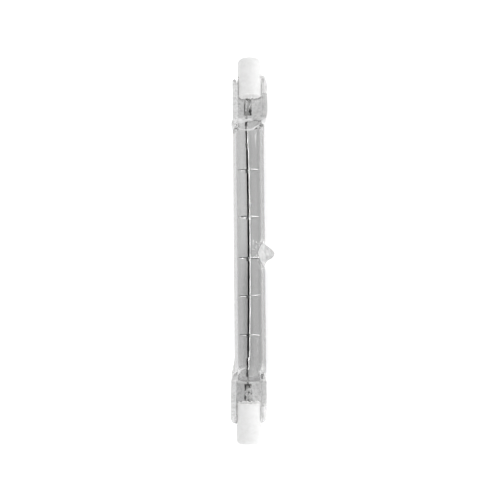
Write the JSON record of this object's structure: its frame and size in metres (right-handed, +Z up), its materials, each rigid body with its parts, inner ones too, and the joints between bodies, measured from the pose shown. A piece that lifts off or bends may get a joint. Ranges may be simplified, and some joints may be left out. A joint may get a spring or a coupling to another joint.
{
  "type": "quartz bulb",
  "caption": "Linear double-ended quartz halogen bulb with a coiled filament, wire supports, pinched ends and slotted ceramic caps with recessed contacts, lying at rest.",
  "frame": {"origin": "centre of the bounding box at the level the bulb lies on", "axes": "+Y along the tube, from the cap called bottom to the cap called top; +Z up, with the bulb lying on its tube and on its exhaust tip"},
  "size_m": [0.0116, 0.1176, 0.0095],
  "materials": {
    "quartz": "clear, fire polished",
    "tungsten": "drawn wire, dark grey",
    "molybdenum": "rolled foil and drawn wire",
    "steatite": "unglazed, matt",
    "cement": "rough, chalky",
    "nickel": "plated, slightly dull"
  },
  "bodies": {
    "root": {"quartz_envelope": "quartz", "filament": "tungsten", "support_1": "tungsten", "support_2": "tungsten", "support_3": "tungsten", "support_4": "tungsten", "support_5": "tungsten", "inner_lead_top": "molybdenum", "foil_top": "molybdenum", "outer_lead_top": "molybdenum", "ceramic_cap_top": "steatite", "cement_top": "cement", "contact_top": "nickel", "inner_lead_bottom": "molybdenum", "foil_bottom": "molybdenum", "outer_lead_bottom": "molybdenum", "ceramic_cap_bottom": "steatite", "cement_bottom": "cement", "contact_bottom": "nickel"}
  },
  "joints": []
}
